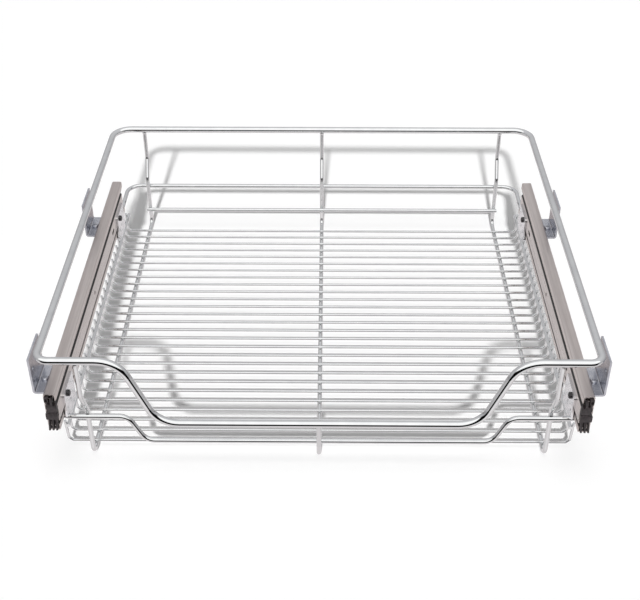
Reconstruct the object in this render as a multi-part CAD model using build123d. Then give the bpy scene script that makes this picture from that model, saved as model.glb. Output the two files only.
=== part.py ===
from build123d import *
import os
from math import cos, hypot, radians, tan

# Pull-out wire basket for a kitchen base cabinet, on a pair of ball-bearing slides.
# X runs across the cabinet, Y from its door to its back, Z up. All sizes are in millimetres.
# The origin is on the surface that the basket stands on, under the middle of the whole object.

# ---- Cabinet and basket -------------------------------------------------------------------
CABINET_WIDTH = 564.0  # inside width between the cabinet's side panels
TOP_ROD_D = 8.0
RIM_ROD_D = 5.5
LEG_WIRE_D = 5.0
SIDE_RAIL_D = 4.0
FLOOR_WIRE_D = 3.0
WELD_GAP = 0.05  # wires are laid against each other, and their welds are too small to model

TOP_RAIL_ROOM = 8.0  # from the panel to the rod, all to centre lines
TOP_RAIL_DEPTH = 484.6
TOP_ROD_Z = 138.5
TOP_FRONT_CORNER_R = 13.0
TOP_REAR_CORNER_R = 22.0

TOP_DIP = 80.0  # the front of the top rail drops so that things can be lifted out
TOP_DIP_SHOULDER = 79.5  # from the side rod to the dip
TOP_DIP_RUN = 33.0  # of each slanted side, across the cabinet
TOP_DIP_BEND_R = 32.0

RIM_INSET = 5.5  # in from the slide's cabinet face
RIM_DROP = 80.5  # below the top rod's centre line
RIM_FRONT_SETBACK = 10.6  # behind the top rod's centre line
RIM_DIP = 32.5
RIM_DIP_SHOULDER = 68.5
RIM_DIP_RUN = 16.0
RIM_DIP_BEND_R = 15.0
RIM_FRONT_CORNER_R = 8.0
RIM_REAR_CORNER_R = 18.0

REAR_RAIL_D = 5.0
REAR_RAIL_DROP = 112.0
REAR_RAIL_OVERHANG = 3.5  # past the outer legs

LEG_INSET = 27.0  # from the side of the rim to the outer leg
REAR_JOG = 14.0
REAR_JOG_TOP_DROP = 42.0
REAR_JOG_BOTTOM_DROP = 67.0
FRONT_JOG_TOP_DROP = 45.0
FRONT_JOG_BOTTOM_DROP = 75.0
LEG_JOG_BEND_R = 8.0
LEG_FOOT_BEND_R = 9.0
CENTRE_LEG_LEAN = 26.0  # degrees, so that it passes in front of the rim's dip

FLOOR_WIRE_COUNT = 27
FLOOR_WIRE_OVERHANG = 1.0  # past the rim's centre line, to the corner where the wire turns up
FLOOR_WIRE_FRONT_SETBACK = 30.6
FLOOR_WIRE_REAR_SETBACK = 41.4
FLOOR_WIRE_UPTURN = 27.0
FLOOR_WIRE_SPLAY_WIDTH = 1.5
FLOOR_WIRE_BEND_LEG = 3.6  # the corner is bent in two steps, this far from its point
SIDE_RAIL_HEIGHT = 23.5  # above the floor wires' centre line
SIDE_RAIL_END = 2.5  # past the first and the last floor wire

# ---- Slides -------------------------------------------------------------------------------
SLIDE_LENGTH = 414.0
SLIDE_HEIGHT = 45.4
SLIDE_THICK = 12.7
SLIDE_STEEL = 1.2
SLIDE_PANEL_ROOM = 14.0  # from the panel to the slide's cabinet face
SLIDE_OVER_RIM = 1.0  # height between the rim rod and the slide
SLIDE_FRONT_REACH = 13.2  # ahead of the top rod's centre line
SLIDE_REAR_ROOM = 10.0  # the moving members stop short of the cabinet member's rear bumper

CABINET_LIP_T = 11.3
CABINET_LIP_DROP = 7.7
MIDDLE_WEB_T = 3.2
MIDDLE_FLANGE_V = 17.5
MIDDLE_FLANGE_T = 8.6
DRAWER_FLANGE_V = 12.9
DRAWER_FLANGE_T = 5.3
DRAWER_SHOULDER_T = 9.4
DRAWER_WEB_HALF = 10.2
PROFILE_BEND_R = 1.3  # on the middle of the steel's thickness

BALL_D = 3.1
BALLS_PER_ROW = 3
BALL_PITCH = 55.0
BALL_HOLE_PLAY = 0.3
CAGE_LENGTH = 150.0
CAGE_STEEL = 0.8
CAGE_ARM = 1.0
OUTER_CAGE_T = 1.9
OUTER_BALL_T = 5.8
OUTER_BALL_V = 19.8
OUTER_ARM_END_T = 8.4
INNER_CAGE_T = 4.5
INNER_BALL_T = 7.0
INNER_BALL_V = 15.2
INNER_ARM_END_T = 8.8

WEB_HOLE_D = 4.6
WEB_SLOT_LENGTH = 12.0
WEB_HOLE_INSET = 37.0

# ---- Black plastic pieces at the slides' ends -----------------------------------------------
BUMPER_FIT = 0.4  # clear of the members that run past
CAP_GAP = 0.4
CAP_THICK = 3.3
CAP_UPPER_TOP_V = 13.4
CAP_UPPER_BOTTOM_V = 2.6
CAP_LOWER_BOTTOM_V = -6.8
CAP_RIBBED_BOTTOM_V = -21.4
CAP_WAIST = 0.8
CAP_RIB_COUNT = 4
CAP_RIB_GROOVE = 0.9
CAP_EDGE_R = 1.2
CAP_LOBE_INSET = 0.8  # of the upper lobe, from the slide's cabinet face
CAP_LOBE_STEP = 0.2  # and from its drawer face
CAP_SKIRT_OUTER_INSET = 1.6
CAP_SKIRT_INNER_INSET = 1.4
CAP_SPINE_OUTER_INSET = 3.0
CAP_SPINE_INNER_INSET = 2.0
CAP_SPINE_END_INSET = 1.0
CAP_SPIGOT_LENGTH = 10.0
CAP_FIT = 0.1
BUMPER_LENGTH = 9.0
BUMPER_STRIP = 1.0
BUMPER_FRAME = 0.8
REAR_BUMPER_LENGTH = 8.0
LEVER_BEHIND_FRONT = 38.0
LEVER_LENGTH = 18.0
LEVER_THICK = 1.8
LEVER_GAP = 0.4
LEVER_HOOK = 1.6  # how far its nose reaches down over the shoulder
LEVER_NOSE = 0.8
LEVER_EDGE_R = 0.5

# ---- Brackets and fasteners -----------------------------------------------------------------
BRACKET_STEEL = 2.0
BRACKET_LENGTH = 42.0
BRACKET_HEIGHT = 43.0
BRACKET_TOP_DROP = 0.0
BRACKET_SLIDE_GAP = 0.6
BRACKET_BEND_R = 1.2
BRACKET_FRONT_SETBACK = 1.3
REAR_BRACKET_SETBACK = 288.0
WALL_HOLE_D = 5.0
WALL_HOLE_SPACING = 25.0
WALL_HOLE_DROP = 17.0
SLOT_WIDTH = 4.4
SLOT_LENGTH = 7.4
SCREW_FROM_PANEL = 7.8  # centre of the adjusting screw, from the panel

LUG_STEEL = 1.5
LUG_LENGTH = 20.0
LUG_DEPTH = 18.0
LUG_REACH = 10.6
RIVET_D = 3.2
RIVET_HEAD_D = 6.0
RIVET_HEAD_H = 0.9
RIVET_SPACING = 11.0

M4_D = 4.0
M4_HEAD_D = 7.6
M4_HEAD_H = 2.4
M4_LENGTH = 8.0
M4_NUT_AF = 7.0
M4_NUT_H = 3.2
M4_HOLE_D = 4.1
DRIVE_SLOT_WIDTH = 0.9
DRIVE_SLOT_DEPTH = 1.1

TAB_STEEL = 2.0
TAB_LENGTH = 40.0
TAB_SCREW_INSET = 13.3  # from the tab's front edge
TAB_TOP_DROP = 49.0
TAB_FOOT_REACH = 10.6
TAB_SMALL_HOLE_D = 2.6
TAB_SMALL_HOLE_DROP = 13.0  # below the screw
TAB_SMALL_HOLE_SPACING = 14.0
TAB_CORNER_R = 3.0
TAB_SCREW_DROP = 57.0
FRONT_TAB_SCREW_SETBACK = 19.3
REAR_TAB_SCREW_SETBACK = 353.6
TAB_SCREW_HEAD_D = 7.0
TAB_SCREW_LENGTH = 6.5

# ---- Places worked out from the sizes ---------------------------------------------------------
front_reach = SLIDE_FRONT_REACH + CAP_GAP + CAP_THICK
overall_depth = front_reach + TOP_RAIL_DEPTH + TOP_ROD_D / 2
front_y = front_reach - overall_depth / 2  # centre line of the top rod at the front
rear_y = front_y + TOP_RAIL_DEPTH
panel_x = CABINET_WIDTH / 2
top_half = panel_x - TOP_RAIL_ROOM
top_dip_half = top_half - TOP_DIP_SHOULDER
slide_outer_x = panel_x - SLIDE_PANEL_ROOM

rim_half = slide_outer_x - RIM_INSET
rim_dip_half = rim_half - RIM_DIP_SHOULDER
leg_x = rim_half - LEG_INSET
rim_z = TOP_ROD_Z - RIM_DROP
rim_front_y = front_y + RIM_FRONT_SETBACK
rim_dip_z = rim_z - RIM_DIP
leg_rear_y = rear_y - REAR_JOG
leg_front_y = rim_front_y + (RIM_ROD_D + LEG_WIRE_D) / 2 + WELD_GAP
rim_rear_y = leg_rear_y + (RIM_ROD_D + LEG_WIRE_D) / 2 + WELD_GAP
rear_rail_y = leg_rear_y - (REAR_RAIL_D + LEG_WIRE_D) / 2 - WELD_GAP
leg_floor_z = LEG_WIRE_D / 2
leg_top_z = TOP_ROD_Z - TOP_ROD_D / 2 - WELD_GAP
dip_z = TOP_ROD_Z - TOP_DIP

floor_wire_z = LEG_WIRE_D + FLOOR_WIRE_D / 2 + WELD_GAP
floor_front_y = front_y + FLOOR_WIRE_FRONT_SETBACK
floor_rear_y = rear_y - FLOOR_WIRE_REAR_SETBACK
floor_wire_half = rim_half + FLOOR_WIRE_OVERHANG
floor_pitch = (floor_rear_y - floor_front_y) / (FLOOR_WIRE_COUNT - 1)
side_rail_z = floor_wire_z + SIDE_RAIL_HEIGHT
side_rail_x = (
    floor_wire_half
    + FLOOR_WIRE_SPLAY_WIDTH * SIDE_RAIL_HEIGHT / FLOOR_WIRE_UPTURN
    - (SIDE_RAIL_D + FLOOR_WIRE_D) / 2
    - WELD_GAP
)

slide_y0 = front_y - SLIDE_FRONT_REACH
slide_y1 = slide_y0 + SLIDE_LENGTH
member_y1 = slide_y1 - SLIDE_REAR_ROOM
slide_z = rim_z + RIM_ROD_D / 2 + SLIDE_OVER_RIM + SLIDE_HEIGHT / 2
cage_y0 = (slide_y0 + member_y1 - CAGE_LENGTH) / 2
lip_v = (SLIDE_HEIGHT - SLIDE_STEEL) / 2
drawer_web_t = SLIDE_THICK - SLIDE_STEEL / 2
slide_inner_x = slide_outer_x - SLIDE_THICK
inside_bend_r = PROFILE_BEND_R - SLIDE_STEEL / 2

bracket_leg_z = TOP_ROD_Z - BRACKET_TOP_DROP - BRACKET_HEIGHT + BRACKET_STEEL / 2
front_bracket_y = front_y + BRACKET_FRONT_SETBACK + BRACKET_LENGTH / 2
rear_bracket_y = front_y + REAR_BRACKET_SETBACK + BRACKET_LENGTH / 2
bracket_places = {"front": front_bracket_y, "rear": rear_bracket_y}
screw_x = panel_x - SCREW_FROM_PANEL
lug_z = bracket_leg_z - BRACKET_STEEL / 2 - WELD_GAP - LUG_STEEL / 2

tab_x = slide_inner_x - WELD_GAP - TAB_STEEL / 2
tab_foot_z = rim_z - RIM_ROD_D / 2 - WELD_GAP - TAB_STEEL / 2
tab_screw_z = TOP_ROD_Z - TAB_SCREW_DROP
tab_notch_z = rim_z + RIM_ROD_D / 2 + WELD_GAP
tab_places = {
    "front": front_y + FRONT_TAB_SCREW_SETBACK,
    "rear": front_y + REAR_TAB_SCREW_SETBACK,
}
tab_notch = rim_front_y + RIM_ROD_D / 2 + WELD_GAP - (tab_places["front"] - TAB_SCREW_INSET)


# ---- Helpers ----------------------------------------------------------------------------------
def bent_rod(points, radii, diameter, closed=False):
    """Round wire of the given diameter, bent at the inner points."""
    path = FilletPolyline(*points, radius=radii, close=closed)
    start = Plane(origin=path @ 0, z_dir=path % 0)
    return sweep(start * Circle(diameter / 2), path=path)


def straight_rod(start, end, diameter):
    """Round wire from one point to another."""
    along = Vector(*end) - Vector(*start)
    return extrude(Plane(origin=start, z_dir=along) * Circle(diameter / 2), amount=along.length)


def mirrored(shape):
    """The same piece on the other side of the object."""
    return mirror(shape, about=Plane.YZ)


def profile_plane(y):
    """Plane across the right slide: x is the distance from its cabinet face, y is up."""
    return Plane(origin=(slide_outer_x, y, slide_z), x_dir=(-1, 0, 0), z_dir=(0, 1, 0))


def rolled_member(points, y0, y1, thickness=SLIDE_STEEL, bend=PROFILE_BEND_R):
    """Strip steel rolled to the section that the points give, from y0 to y1."""
    section = trace(FilletPolyline(*points, radius=bend), line_width=thickness)
    return extrude(profile_plane(y0) * section, amount=y1 - y0)


def slide_box(t0, t1, v0, v1, y0, y1):
    """Block in the right slide: t from its cabinet face, v up from its middle."""
    centre = (slide_outer_x - (t0 + t1) / 2, (y0 + y1) / 2, slide_z + (v0 + v1) / 2)
    return Pos(*centre) * Box(t1 - t0, y1 - y0, v1 - v0)


def seated(block):
    """The block with its lengthwise edges rounded to sit in a member's inside bends."""
    return fillet(block.edges().filter_by(Axis.Y), inside_bend_r)


def cross_bore(x, y, z, diameter, depth):
    """Round cutter along X."""
    return Pos(x, y, z) * Rot(0, 90, 0) * Cylinder(diameter / 2, depth)


def cross_slot(x, y, z, width, length, depth):
    """Long-hole cutter along X whose length runs along Y."""
    face = Plane(origin=(x - depth / 2, y, z), x_dir=(0, 1, 0), z_dir=(1, 0, 0)) * SlotOverall(length, width)
    return extrude(face, amount=depth)


def ball_places():
    """Middles of the balls along a cage."""
    first = cage_y0 + (CAGE_LENGTH - BALL_PITCH * (BALLS_PER_ROW - 1)) / 2
    return [first + BALL_PITCH * i for i in range(BALLS_PER_ROW)]


# ---- Wire basket --------------------------------------------------------------------------------
def frame_loop(half, y0, y1, z, dip, half_top, half_bottom, radii, diameter):
    """Closed loop of rod, level but for a dip in the middle of its front."""
    front_r, dip_r, rear_r = radii
    points = [
        (-half, y0, z),
        (-half_top, y0, z),
        (-half_bottom, y0, z - dip),
        (half_bottom, y0, z - dip),
        (half_top, y0, z),
        (half, y0, z),
        (half, y1, z),
        (-half, y1, z),
    ]
    corner_radii = [front_r, dip_r, dip_r, dip_r, dip_r, front_r, rear_r, rear_r]
    return bent_rod(points, corner_radii, diameter, closed=True)


def top_rail_frame():
    """Thick rod round the top, with the deep dip at the front."""
    radii = (TOP_FRONT_CORNER_R, TOP_DIP_BEND_R, TOP_REAR_CORNER_R)
    return frame_loop(
        top_half, front_y, rear_y, TOP_ROD_Z, TOP_DIP, top_dip_half, top_dip_half - TOP_DIP_RUN, radii, TOP_ROD_D
    )


def lower_rim_frame():
    """Thinner rod round the basket proper, outside its rear legs."""
    radii = (RIM_FRONT_CORNER_R, RIM_DIP_BEND_R, RIM_REAR_CORNER_R)
    return frame_loop(
        rim_half, rim_front_y, rim_rear_y, rim_z, RIM_DIP, rim_dip_half, rim_dip_half - RIM_DIP_RUN, radii, RIM_ROD_D
    )


def rear_middle_rail():
    """Straight wire across the back, inside the legs."""
    half = leg_x + REAR_RAIL_OVERHANG
    z = TOP_ROD_Z - REAR_RAIL_DROP
    return straight_rod((-half, rear_rail_y, z), (half, rear_rail_y, z), REAR_RAIL_D)


def rear_leg_points(x):
    """Down the back: straight, a jog forward, and straight to the floor."""
    return [
        (x, rear_y, leg_top_z),
        (x, rear_y, TOP_ROD_Z - REAR_JOG_TOP_DROP),
        (x, leg_rear_y, TOP_ROD_Z - REAR_JOG_BOTTOM_DROP),
        (x, leg_rear_y, leg_floor_z),
    ]


def outer_leg_wire(x):
    """Leg wire at the side: down the back, along the floor and up inside the rim's front."""
    points = rear_leg_points(x) + [
        (x, leg_front_y, leg_floor_z),
        (x, leg_front_y, TOP_ROD_Z - FRONT_JOG_BOTTOM_DROP),
        (x, front_y, TOP_ROD_Z - FRONT_JOG_TOP_DROP),
        (x, front_y, leg_top_z),
    ]
    jog, foot = LEG_JOG_BEND_R, LEG_FOOT_BEND_R
    return bent_rod(points, [jog, jog, foot, foot, jog, jog], LEG_WIRE_D)


def centre_leg_wire():
    """Middle leg wire: at the front it leans out past the rim's dip to the dipped top rod."""
    lean = radians(CENTRE_LEG_LEAN)
    beside_rim = (RIM_ROD_D + LEG_WIRE_D) / 2 + 2 * WELD_GAP
    kink_y = rim_front_y - beside_rim / cos(lean)
    foot_y = kink_y + (rim_dip_z - leg_floor_z) * tan(lean)
    to_rod_y = front_y - kink_y
    to_rod_z = dip_z - rim_dip_z
    reach = hypot(to_rod_y, to_rod_z)
    share = 1 - (TOP_ROD_D / 2 + WELD_GAP) / reach
    points = rear_leg_points(0) + [
        (0, foot_y, leg_floor_z),
        (0, kink_y, rim_dip_z),
        (0, kink_y + share * to_rod_y, rim_dip_z + share * to_rod_z),
    ]
    jog, foot = LEG_JOG_BEND_R, LEG_FOOT_BEND_R
    return bent_rod(points, [jog, jog, foot, foot, jog], LEG_WIRE_D)


def right_side_rail():
    """Wire along the side, inside the floor wires' turned-up ends."""
    y0 = floor_front_y - SIDE_RAIL_END - FLOOR_WIRE_D / 2
    y1 = floor_rear_y + SIDE_RAIL_END + FLOOR_WIRE_D / 2
    return straight_rod((side_rail_x, y0, side_rail_z), (side_rail_x, y1, side_rail_z), SIDE_RAIL_D)


def floor_wire_points(y):
    """Right half of a floor wire's centre line, from its middle to its turned-up end."""
    rise = hypot(FLOOR_WIRE_SPLAY_WIDTH, FLOOR_WIRE_UPTURN)
    up_x = FLOOR_WIRE_SPLAY_WIDTH / rise
    up_z = FLOOR_WIRE_UPTURN / rise
    corner_x = floor_wire_half + FLOOR_WIRE_BEND_LEG * up_x
    corner_z = floor_wire_z + FLOOR_WIRE_BEND_LEG * up_z
    return [
        (floor_wire_half - FLOOR_WIRE_BEND_LEG, y, floor_wire_z),
        (corner_x, y, corner_z),
        (floor_wire_half + FLOOR_WIRE_SPLAY_WIDTH, y, floor_wire_z + FLOOR_WIRE_UPTURN),
    ]


def floor_cross_wires():
    """Floor wires, each turned up at both ends, with corners bent in two steps."""
    wires = []
    for i in range(FLOOR_WIRE_COUNT):
        right = floor_wire_points(floor_front_y + floor_pitch * i)
        left = [(-x, y, z) for x, y, z in reversed(right)]
        path = Polyline(*left, *right)
        start = Plane(origin=path @ 0, z_dir=path % 0)
        wires.append(sweep(start * Circle(FLOOR_WIRE_D / 2), path=path, transition=Transition.RIGHT))
    return Compound(children=wires)


# ---- Mounting tabs between the basket and the slides ---------------------------------------------
def right_tab(y):
    """Folded steel tab: its plate lies on the drawer member, its foot is welded under the rim."""
    front = y - TAB_SCREW_INSET
    middle = front + TAB_LENGTH / 2
    plate_top = TOP_ROD_Z - TAB_TOP_DROP
    plate_bottom = tab_foot_z - TAB_STEEL / 2
    height = plate_top - plate_bottom
    plate = Pos(tab_x, middle, (plate_top + plate_bottom) / 2) * Box(TAB_STEEL, TAB_LENGTH, height)
    top_edges = plate.edges().filter_by(Axis.X).sort_by(Axis.Z)[-2:]
    plate = fillet(top_edges, TAB_CORNER_R)
    foot_x = tab_x - TAB_STEEL / 2 + TAB_FOOT_REACH / 2
    foot = Pos(foot_x, middle, tab_foot_z) * Box(TAB_FOOT_REACH, TAB_LENGTH, TAB_STEEL)
    tab = plate + foot
    notch_low = plate_bottom - TAB_STEEL
    notch = Box(4 * TAB_FOOT_REACH, 2 * tab_notch, tab_notch_z - notch_low)
    tab -= Pos(tab_x, front, (tab_notch_z + notch_low) / 2) * notch
    tab -= cross_bore(tab_x, y, tab_screw_z, M4_HOLE_D + 2 * WELD_GAP, TAB_LENGTH)
    for dy in (-TAB_SMALL_HOLE_SPACING / 2, TAB_SMALL_HOLE_SPACING / 2):
        tab -= cross_bore(tab_x, y + dy, tab_screw_z - TAB_SMALL_HOLE_DROP, TAB_SMALL_HOLE_D, TAB_LENGTH)
    return tab


def right_tab_screw(y):
    """Black pan-head screw through the tab and the drawer member."""
    face_x = tab_x - TAB_STEEL / 2 - WELD_GAP
    head = Pos(face_x - M4_HEAD_H / 2, y, tab_screw_z) * Rot(0, 90, 0) * Cylinder(TAB_SCREW_HEAD_D / 2, M4_HEAD_H)
    rim_edge = head.edges().sort_by(Axis.X)[0]
    head = chamfer(rim_edge, M4_HEAD_H / 3)
    shank = cross_bore(face_x + TAB_SCREW_LENGTH / 2, y, tab_screw_z, M4_D, TAB_SCREW_LENGTH)
    recess_x = face_x - M4_HEAD_H + DRIVE_SLOT_DEPTH / 2
    screw = head + shank
    for size in ((DRIVE_SLOT_WIDTH, M4_D), (M4_D, DRIVE_SLOT_WIDTH)):
        screw -= Pos(recess_x, y, tab_screw_z) * Box(DRIVE_SLOT_DEPTH, *size)
    return screw


# ---- Slide members -------------------------------------------------------------------------------
def web_cutters(t, y0, y1):
    """Long holes and round holes along a member's web."""
    x = slide_outer_x - t
    cutters = []
    for y in (y0 + 2 * WEB_HOLE_INSET, y1 - 2 * WEB_HOLE_INSET):
        cutters.append(cross_slot(x, y, slide_z, WEB_HOLE_D, WEB_SLOT_LENGTH, 2 * SLIDE_STEEL))
    cutters.append(cross_bore(x, (y0 + y1) / 2, slide_z, WEB_HOLE_D, 2 * SLIDE_STEEL))
    return cutters


def right_cabinet_member():
    """Outer channel with curled lips, fixed to the cabinet."""
    web_t = SLIDE_STEEL / 2
    lip_end = lip_v - CABINET_LIP_DROP + SLIDE_STEEL / 2
    points = [
        (CABINET_LIP_T, lip_end),
        (CABINET_LIP_T, lip_v),
        (web_t, lip_v),
        (web_t, -lip_v),
        (CABINET_LIP_T, -lip_v),
        (CABINET_LIP_T, -lip_end),
    ]
    member = rolled_member(points, slide_y0, slide_y1)
    for cutter in web_cutters(web_t, slide_y0, slide_y1):
        member -= cutter
    for y in bracket_places.values():
        for rivet_y in rivet_places(y):
            member -= cross_bore(slide_outer_x - web_t, rivet_y, rivet_z(), RIVET_D + 2 * WELD_GAP, 2 * SLIDE_STEEL)
    return member


def right_middle_member():
    """Middle channel that runs between the two rows of balls."""
    points = [
        (MIDDLE_FLANGE_T, MIDDLE_FLANGE_V),
        (MIDDLE_WEB_T, MIDDLE_FLANGE_V),
        (MIDDLE_WEB_T, -MIDDLE_FLANGE_V),
        (MIDDLE_FLANGE_T, -MIDDLE_FLANGE_V),
    ]
    return rolled_member(points, slide_y0, member_y1)


def right_drawer_member():
    """Inner hat-shaped member that carries the basket."""
    points = [
        (DRAWER_FLANGE_T, DRAWER_FLANGE_V),
        (DRAWER_SHOULDER_T, DRAWER_FLANGE_V),
        (drawer_web_t, DRAWER_WEB_HALF),
        (drawer_web_t, -DRAWER_WEB_HALF),
        (DRAWER_SHOULDER_T, -DRAWER_FLANGE_V),
        (DRAWER_FLANGE_T, -DRAWER_FLANGE_V),
    ]
    member = rolled_member(points, slide_y0, member_y1)
    for cutter in web_cutters(drawer_web_t, slide_y0, member_y1):
        member -= cutter
    for y in tab_places.values():
        member -= cross_bore(slide_outer_x - drawer_web_t, y, tab_screw_z, M4_HOLE_D, 2 * SLIDE_STEEL)
    return member


def right_cage(web_t, ball_t, ball_v, arm_end_t):
    """Ball retainer: a web with two arms, which hold a row of balls each."""
    points = [(arm_end_t, ball_v), (web_t, ball_v), (web_t, -ball_v), (arm_end_t, -ball_v)]
    cage = rolled_member(points, cage_y0, cage_y0 + CAGE_LENGTH, thickness=CAGE_STEEL, bend=CAGE_ARM)
    hole = Cylinder((BALL_D + BALL_HOLE_PLAY) / 2, 2 * CAGE_ARM)
    for y in ball_places():
        for side in (-1, 1):
            cage -= Pos(slide_outer_x - ball_t, y, slide_z + side * ball_v) * hole
    return cage


def right_balls(ball_t, ball_v):
    """The balls of one cage, in their two rows."""
    balls = []
    for y in ball_places():
        for side in (-1, 1):
            balls.append(Pos(slide_outer_x - ball_t, y, slide_z + side * ball_v) * Sphere(BALL_D / 2))
    return Compound(children=balls)


# ---- Plastic pieces of the slides ------------------------------------------------------------------
def right_drawer_cap():
    """Moulded cap on the drawer member's front: two lobes, a ribbed skirt and a spigot."""
    y1 = slide_y0 - CAP_GAP
    y0 = y1 - CAP_THICK
    flange_v = DRAWER_FLANGE_V - SLIDE_STEEL / 2 - CAP_FIT
    web_t = drawer_web_t - SLIDE_STEEL / 2 - CAP_FIT
    shoulder_v = DRAWER_WEB_HALF - SLIDE_STEEL / 2 - CAP_FIT
    shoulder_t = web_t - (flange_v - shoulder_v) - CAP_FIT
    tip_t = DRAWER_FLANGE_T + CAP_FIT
    upper_t1 = SLIDE_THICK - CAP_LOBE_STEP
    upper = slide_box(CAP_LOBE_INSET, upper_t1, CAP_UPPER_BOTTOM_V + CAP_WAIST / 2, CAP_UPPER_TOP_V, y0, y1)
    lower = slide_box(0.0, SLIDE_THICK, CAP_LOWER_BOTTOM_V, CAP_UPPER_BOTTOM_V - CAP_WAIST / 2, y0, y1)
    upper = fillet(upper.edges().filter_by(Axis.Y), CAP_EDGE_R)
    lower = fillet(lower.edges().filter_by(Axis.Y), CAP_EDGE_R)
    spine_v0 = CAP_RIBBED_BOTTOM_V + CAP_SPINE_END_INSET
    spine_v1 = CAP_UPPER_TOP_V - CAP_SPINE_END_INSET
    spine_t1 = SLIDE_THICK - CAP_SPINE_INNER_INSET
    spine = slide_box(CAP_SPINE_OUTER_INSET, spine_t1, spine_v0, spine_v1, y0 + CAP_WAIST, y1)
    skirt_t1 = SLIDE_THICK - CAP_SKIRT_INNER_INSET
    skirt_v1 = CAP_LOWER_BOTTOM_V - CAP_WAIST
    skirt = slide_box(CAP_SKIRT_OUTER_INSET, skirt_t1, CAP_RIBBED_BOTTOM_V, skirt_v1, y0, y1)
    rib_pitch = (skirt_t1 - CAP_SKIRT_OUTER_INSET) / CAP_RIB_COUNT
    for i in range(1, CAP_RIB_COUNT):
        t = CAP_SKIRT_OUTER_INSET + rib_pitch * i
        skirt -= slide_box(
            t - CAP_RIB_GROOVE / 2, t + CAP_RIB_GROOVE / 2, CAP_RIBBED_BOTTOM_V - 1, 0, y0 - 1, y0 + CAP_RIB_GROOVE
        )
    spigot_face = Polygon(
        (tip_t, -flange_v),
        (shoulder_t, -flange_v),
        (web_t, -shoulder_v),
        (web_t, shoulder_v),
        (shoulder_t, flange_v),
        (tip_t, flange_v),
        align=None,
    )
    spigot = extrude(profile_plane(y1) * spigot_face, amount=CAP_GAP + CAP_SPIGOT_LENGTH)
    return upper + lower + spine + skirt + spigot


def right_middle_bumper():
    """Plastic end piece in the middle member's front, open for the drawer member."""
    room_v = DRAWER_FLANGE_V + SLIDE_STEEL / 2 + BUMPER_FIT
    flange_v = MIDDLE_FLANGE_V - SLIDE_STEEL / 2 - CAP_FIT
    web_t = MIDDLE_WEB_T + SLIDE_STEEL / 2 + CAP_FIT
    strip_t = web_t + BUMPER_STRIP
    y1 = slide_y0 + BUMPER_LENGTH
    block = seated(slide_box(web_t, MIDDLE_FLANGE_T, -flange_v, flange_v, slide_y0, y1))
    return block - slide_box(strip_t, SLIDE_THICK, -room_v, room_v, slide_y0 - 1, y1 + 1)


def right_cabinet_bumper():
    """Plastic end piece in the cabinet member's lips, with a framed square, open for the middle member."""
    room_v = MIDDLE_FLANGE_V + SLIDE_STEEL / 2 + BUMPER_FIT
    inner_v = SLIDE_HEIGHT / 2 - SLIDE_STEEL - CAP_FIT
    web_t = SLIDE_STEEL + CAP_FIT
    strip_t = MIDDLE_WEB_T - SLIDE_STEEL / 2 - BUMPER_FIT
    lip_inner_t = CABINET_LIP_T - SLIDE_STEEL / 2 - CAP_FIT
    square = inner_v - room_v - 2 * BUMPER_FRAME
    y1 = slide_y0 + BUMPER_LENGTH
    bumper = seated(slide_box(web_t, lip_inner_t, -inner_v, inner_v, slide_y0, y1))
    bumper -= slide_box(strip_t, SLIDE_THICK, -room_v, room_v, slide_y0 - 1, y1 + 1)
    square_t = web_t + BUMPER_FRAME
    square_v = room_v + BUMPER_FRAME
    recess = slide_box(square_t, square_t + square, square_v, square_v + square, slide_y0 - 1, slide_y0 + 1)
    return bumper - recess


def right_rear_bumper():
    """Soft block in the cabinet member's rear end, which the closed basket stops against."""
    inner_v = SLIDE_HEIGHT / 2 - SLIDE_STEEL - CAP_FIT
    lip_inner_t = CABINET_LIP_T - SLIDE_STEEL / 2 - CAP_FIT
    y0 = slide_y1 - REAR_BUMPER_LENGTH
    block = seated(slide_box(SLIDE_STEEL + CAP_FIT, lip_inner_t, -inner_v, inner_v, y0, slide_y1))
    notch = slide_box(MIDDLE_FLANGE_T / 2, SLIDE_THICK, -inner_v / 2, inner_v / 2, y0 - 1, slide_y1 + 1)
    return block - notch


def right_release_lever():
    """Small lever on the drawer member's upper shoulder that frees the basket."""
    y0 = slide_y0 + LEVER_BEHIND_FRONT
    shoulder_v = DRAWER_FLANGE_V + SLIDE_STEEL / 2 + CAP_FIT
    web_t = SLIDE_THICK - SLIDE_STEEL
    face = Polygon(
        (DRAWER_SHOULDER_T + LEVER_GAP, shoulder_v),
        (web_t + LEVER_GAP, shoulder_v - LEVER_HOOK),
        (web_t + LEVER_GAP, shoulder_v + LEVER_NOSE),
        (DRAWER_SHOULDER_T + LEVER_GAP, shoulder_v + LEVER_THICK / 2),
        align=None,
    )
    lever = extrude(profile_plane(y0) * face, amount=LEVER_LENGTH)
    return fillet(lever.edges().filter_by(Axis.Y).sort_by(Axis.X)[0], LEVER_EDGE_R)


# ---- Brackets, lugs and their fasteners --------------------------------------------------------------
def rivet_places(y):
    """Rivets of the lug whose middle is at y."""
    return [y - RIVET_SPACING / 2, y + RIVET_SPACING / 2]


def rivet_z():
    """Height of the rivets' centres."""
    return lug_z - LUG_STEEL / 2 - (LUG_DEPTH - LUG_STEEL) / 2


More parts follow.
